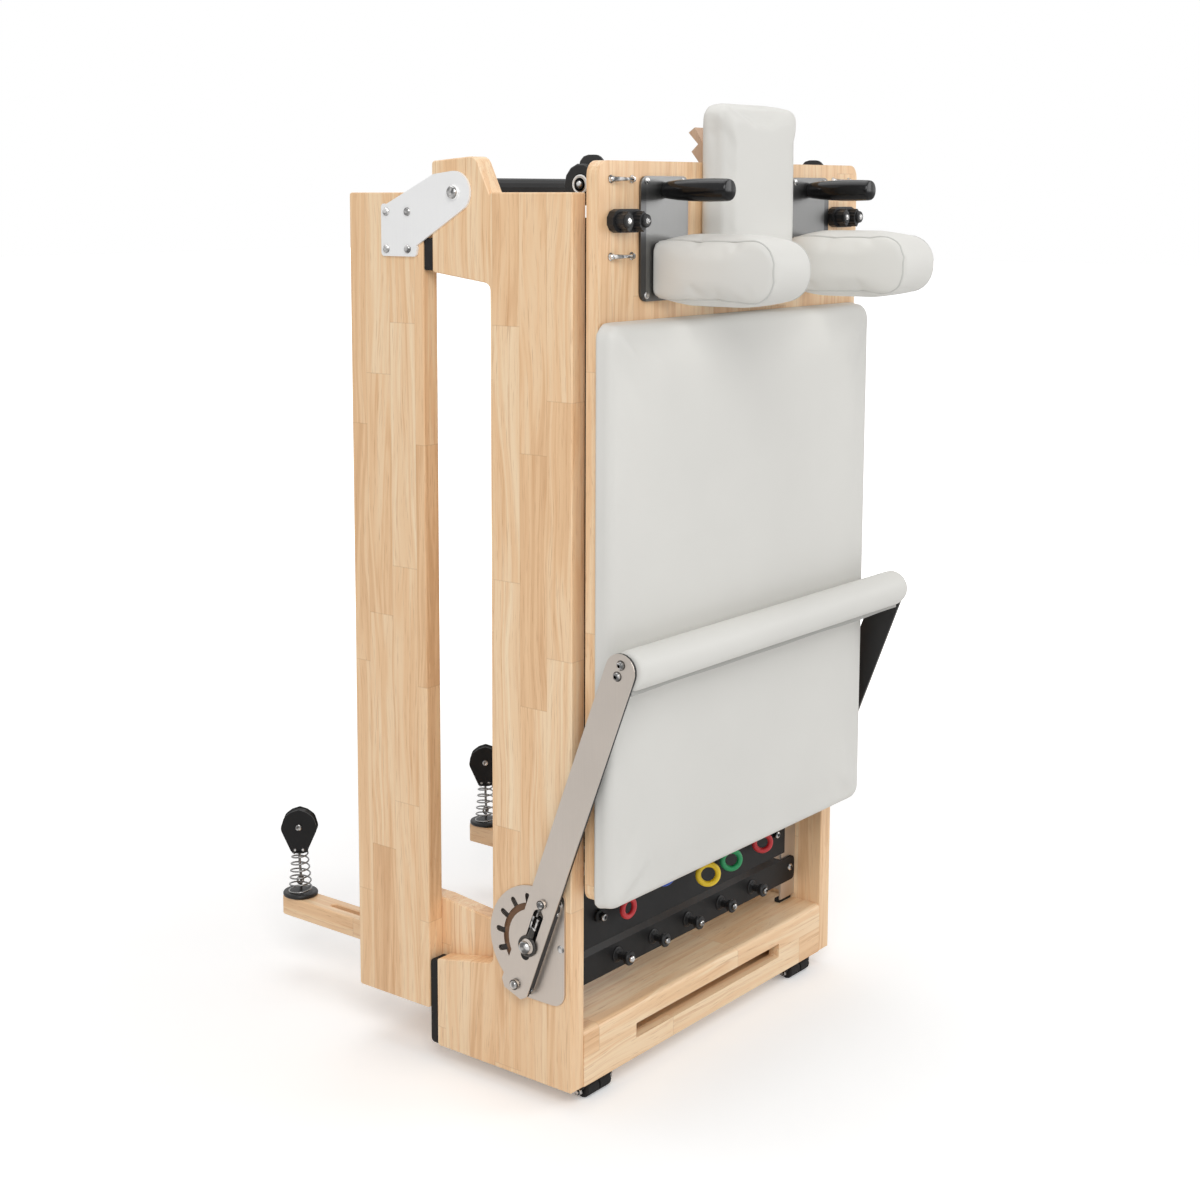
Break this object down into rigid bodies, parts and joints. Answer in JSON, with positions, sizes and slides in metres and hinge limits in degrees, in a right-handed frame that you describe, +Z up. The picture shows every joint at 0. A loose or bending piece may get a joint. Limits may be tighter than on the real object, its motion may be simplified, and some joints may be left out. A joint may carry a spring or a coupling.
{
  "type": "folding pilates reformer",
  "caption": "Wooden pilates reformer that folds in half to stand upright, with a padded sliding carriage, footbar, springs, shoulder rests and rope pulleys.",
  "frame": {"origin": "on the floor under the middle of the bounding box of the folded, standing machine", "axes": "+Z up; -Y is the padded side; X across the width, -X is the left side seen from the padded side"},
  "size_m": [0.7142, 0.882, 1.345],
  "materials": {
    "wood": "clear satin lacquer over finger-jointed rubberwood",
    "vinyl": "smooth grey-white upholstery",
    "steel": "brushed",
    "black_steel": "black powder coat",
    "aluminium": "satin",
    "rubber": "matt",
    "black_plastic": "moulded",
    "gloss_grip": "gloss",
    "spring_steel": "bare spring wire"
  },
  "bodies": {
    "foot_frame": {"platform": "wood", "gear_bar": "black_steel", "hinge_tube": "black_steel", "foot_rail_left": "wood", "foot_rail_right": "wood", "leg_pad_left": "rubber", "leg_pad_right": "rubber", "track_left": "aluminium", "track_right": "aluminium", "ratchet_plate_left": "steel", "ratchet_plate_right": "steel"},
    "head_half": {"head_end_frame": "wood", "head_rail_left": "wood", "head_rail_right": "wood", "hinge_plate_left": "steel", "hinge_plate_right": "steel"},
    "carriage": {"carriage_board": "wood", "main_pad": "vinyl", "spring_bar": "black_steel", "spring_red_left": "spring_steel", "spring_blue": "spring_steel", "spring_yellow": "spring_steel", "spring_green": "spring_steel", "spring_red_right": "spring_steel", "shoulder_bracket_left": "steel", "shoulder_bracket_right": "steel", "shoulder_handle_left": "gloss_grip", "shoulder_handle_right": "gloss_grip", "shoulder_pad_left": "vinyl", "shoulder_pad_right": "vinyl", "rope_cleat_left": "black_plastic", "rope_cleat_right": "black_plastic"},
    "headrest": {"headrest_board": "wood", "headrest_pad": "vinyl"},
    "headrest_prop": {"headrest_prop": "wood"},
    "footbar_hub": {"footbar_hub_left": "black_steel", "footbar_hub_right": "black_steel"},
    "footbar": {"footbar_roll": "vinyl", "footbar_arm_left": "steel", "footbar_arm_right": "steel"},
    "transport_roller_left": {"transport_roller_left": "rubber"},
    "riser_left": {"riser_arm_left": "wood", "pulley_spring_left": "spring_steel"},
    "riser_knob_left": {"riser_knob_left": "black_plastic"},
    "pulley_block_left": {"pulley_block_left": "black_plastic"},
    "pulley_sheave_left": {"pulley_sheave_left": "black_plastic"},
    "carriage_wheel_top_left": {"carriage_wheel_top_left": "black_plastic"},
    "carriage_wheel_low_left": {"carriage_wheel_low_left": "black_plastic"},
    "cleat_cam_outer_left": {"cleat_cam_outer_left": "black_plastic"},
    "cleat_cam_inner_left": {"cleat_cam_inner_left": "black_plastic"},
    "transport_roller_right": {"transport_roller_right": "rubber"},
    "riser_right": {"riser_arm_right": "wood", "pulley_spring_right": "spring_steel"},
    "riser_knob_right": {"riser_knob_right": "black_plastic"},
    "pulley_block_right": {"pulley_block_right": "black_plastic"},
    "pulley_sheave_right": {"pulley_sheave_right": "black_plastic"},
    "carriage_wheel_top_right": {"carriage_wheel_top_right": "black_plastic"},
    "carriage_wheel_low_right": {"carriage_wheel_low_right": "black_plastic"},
    "cleat_cam_outer_right": {"cleat_cam_outer_right": "black_plastic"},
    "cleat_cam_inner_right": {"cleat_cam_inner_right": "black_plastic"}
  },
  "joints": [
    {"name": "fold", "type": "hinge", "parent": "foot_frame", "child": "head_half", "pos_m": [0, -0.02313, 1.2273], "axis": [1, 0, 0], "range_deg": [0, 180]},
    {"name": "footbar_swing", "type": "hinge", "parent": "foot_frame", "child": "footbar_hub", "pos_m": [0, -0.16038, 0.226], "axis": [1, 0, 0], "range_deg": [0, 147.6]},
    {"name": "footbar_lift", "type": "slide", "parent": "footbar_hub", "child": "footbar", "axis": [0, -0.3535, 0.9354], "range_m": [-0.013, 0]},
    {"name": "carriage_travel", "type": "slide", "parent": "foot_frame", "child": "carriage", "axis": [0, 0, 1], "range_m": [0, 0.85]},
    {"name": "headrest_tilt", "type": "hinge", "parent": "carriage", "child": "headrest", "pos_m": [0, -0.25139, 1.076], "axis": [1, 0, 0], "range_deg": [0, 18]},
    {"name": "headrest_prop_swing", "type": "hinge", "parent": "headrest", "child": "headrest_prop", "pos_m": [0, -0.23039, 1.249], "axis": [1, 0, 0], "range_deg": [-60, 18]},
    {"name": "transport_roller_left_turn", "type": "hinge", "parent": "foot_frame", "child": "transport_roller_left", "pos_m": [-0.26, -0.20278, 0.0118], "axis": [1, 0, 0], "continuous": true},
    {"name": "riser_left_slide", "type": "slide", "parent": "head_half", "child": "riser_left", "axis": [0, 1, 0], "range_m": [-0.14, 0.008]},
    {"name": "riser_knob_left_turn", "type": "hinge", "parent": "head_half", "child": "riser_knob_left", "pos_m": [-0.2234, 0.12462, 0.1258], "axis": [0, 0, 1], "range_deg": [0, 720]},
    {"name": "pulley_left_swivel", "type": "hinge", "parent": "riser_left", "child": "pulley_block_left", "pos_m": [-0.2234, 0.41262, 0.1968], "axis": [0, 0, 1], "range_deg": [-120, 120]},
    {"name": "sheave_left_turn", "type": "hinge", "parent": "pulley_block_left", "child": "pulley_sheave_left", "pos_m": [-0.2234, 0.41262, 0.2388], "axis": [-0.7771, -0.6293, 0], "continuous": true},
    {"name": "carriage_wheel_top_left_turn", "type": "hinge", "parent": "carriage", "child": "carriage_wheel_top_left", "pos_m": [-0.281, -0.19969, 1.237], "axis": [1, 0, 0], "continuous": true},
    {"name": "carriage_wheel_low_left_turn", "type": "hinge", "parent": "carriage", "child": "carriage_wheel_low_left", "pos_m": [-0.281, -0.19969, 0.327], "axis": [1, 0, 0], "continuous": true},
    {"name": "cleat_cam_outer_left_turn", "type": "hinge", "parent": "carriage", "child": "cleat_cam_outer_left", "pos_m": [-0.2875, -0.25168, 1.191], "axis": [0, 1, 0], "range_deg": [-20, 20], "stiffness_Nm_per_rad": 0.05},
    {"name": "cleat_cam_inner_left_turn", "type": "hinge", "parent": "carriage", "child": "cleat_cam_inner_left", "pos_m": [-0.2485, -0.25168, 1.191], "axis": [0, 1, 0], "range_deg": [-20, 20], "stiffness_Nm_per_rad": 0.05},
    {"name": "transport_roller_right_turn", "type": "hinge", "parent": "foot_frame", "child": "transport_roller_right", "pos_m": [0.26, -0.20278, 0.0118], "axis": [1, 0, 0], "continuous": true},
    {"name": "riser_right_slide", "type": "slide", "parent": "head_half", "child": "riser_right", "axis": [0, 1, 0], "range_m": [-0.14, 0.008]},
    {"name": "riser_knob_right_turn", "type": "hinge", "parent": "head_half", "child": "riser_knob_right", "pos_m": [0.2234, 0.12462, 0.1258], "axis": [0, 0, 1], "range_deg": [0, 720]},
    {"name": "pulley_right_swivel", "type": "hinge", "parent": "riser_right", "child": "pulley_block_right", "pos_m": [0.2234, 0.41262, 0.1968], "axis": [0, 0, 1], "range_deg": [-120, 120]},
    {"name": "sheave_right_turn", "type": "hinge", "parent": "pulley_block_right", "child": "pulley_sheave_right", "pos_m": [0.2234, 0.41262, 0.2388], "axis": [-0.7771, -0.6293, 0], "continuous": true},
    {"name": "carriage_wheel_top_right_turn", "type": "hinge", "parent": "carriage", "child": "carriage_wheel_top_right", "pos_m": [0.281, -0.19969, 1.237], "axis": [1, 0, 0], "continuous": true},
    {"name": "carriage_wheel_low_right_turn", "type": "hinge", "parent": "carriage", "child": "carriage_wheel_low_right", "pos_m": [0.281, -0.19969, 0.327], "axis": [1, 0, 0], "continuous": true},
    {"name": "cleat_cam_outer_right_turn", "type": "hinge", "parent": "carriage", "child": "cleat_cam_outer_right", "pos_m": [0.2875, -0.25168, 1.191], "axis": [0, 1, 0], "range_deg": [-20, 20], "stiffness_Nm_per_rad": 0.05},
    {"name": "cleat_cam_inner_right_turn", "type": "hinge", "parent": "carriage", "child": "cleat_cam_inner_right", "pos_m": [0.2485, -0.25168, 1.191], "axis": [0, 1, 0], "range_deg": [-20, 20], "stiffness_Nm_per_rad": 0.05}
  ]
}
